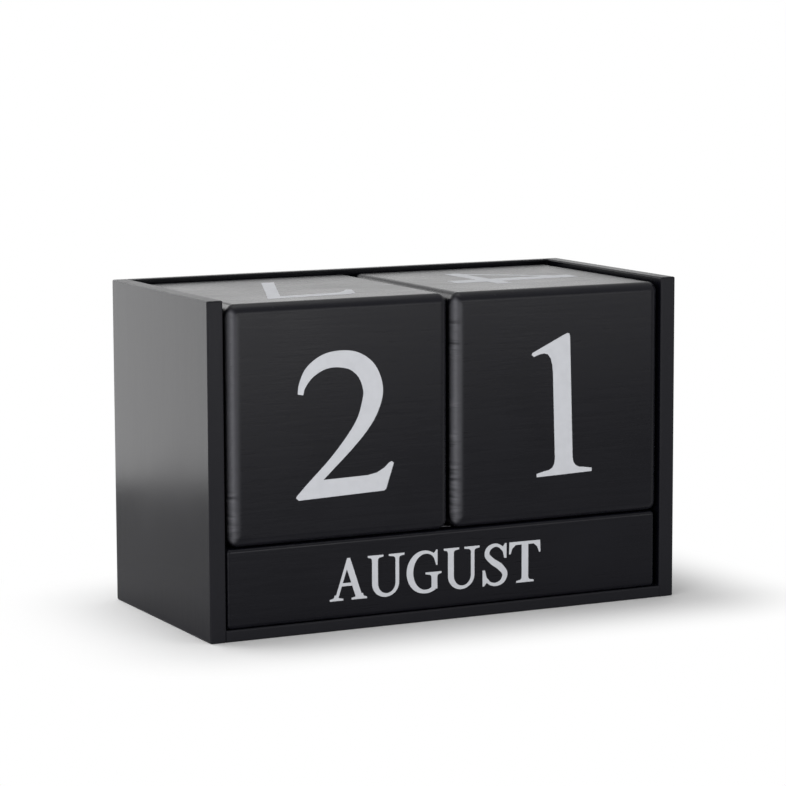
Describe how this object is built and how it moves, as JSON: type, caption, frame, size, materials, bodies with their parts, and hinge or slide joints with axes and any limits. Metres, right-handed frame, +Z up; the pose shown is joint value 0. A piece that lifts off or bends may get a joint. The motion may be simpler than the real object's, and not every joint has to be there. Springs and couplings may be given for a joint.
{
  "type": "perpetual block calendar",
  "caption": "Perpetual desk calendar: an open-fronted wooden holder with round-edged date cubes that lift out and month bars that slide out from under them.",
  "frame": {"origin": "middle of the underside of the holder, on the surface that the calendar stands on", "axes": "+X to the right as the date is read, along the width; +Y from the front to the back; +Z up"},
  "size_m": [0.11, 0.0524, 0.0703],
  "materials": {
    "holder_paint": "satin black paint on wood",
    "block_paint": "satin black paint on wood, worn thin on the edges",
    "white_print": "matt pale grey printed lettering"
  },
  "bodies": {
    "holder": {"left_side_panel": "holder_paint", "right_side_panel": "holder_paint", "back_panel": "holder_paint", "base_panel": "holder_paint"},
    "left_cube": {"left_date_cube": "block_paint"},
    "right_cube": {"right_date_cube": "block_paint"},
    "rear_bar": {"rear_month_bar": "block_paint"},
    "middle_bar": {"middle_month_bar": "block_paint"},
    "front_bar": {"front_month_bar": "block_paint"}
  },
  "joints": [
    {"name": "left_cube_lift", "type": "slide", "parent": "holder", "child": "left_cube", "axis": [0, 0, 1], "range_m": [0, 0.053]},
    {"name": "right_cube_lift", "type": "slide", "parent": "holder", "child": "right_cube", "axis": [0, 0, 1], "range_m": [0, 0.053]},
    {"name": "rear_bar_slide", "type": "slide", "parent": "holder", "child": "rear_bar", "axis": [0, -1, 0], "range_m": [0, 0.051]},
    {"name": "middle_bar_slide", "type": "slide", "parent": "rear_bar", "child": "middle_bar", "axis": [0, -1, 0], "range_m": [0, 0.034]},
    {"name": "front_bar_slide", "type": "slide", "parent": "middle_bar", "child": "front_bar", "axis": [0, -1, 0], "range_m": [0, 0.0175]}
  ]
}
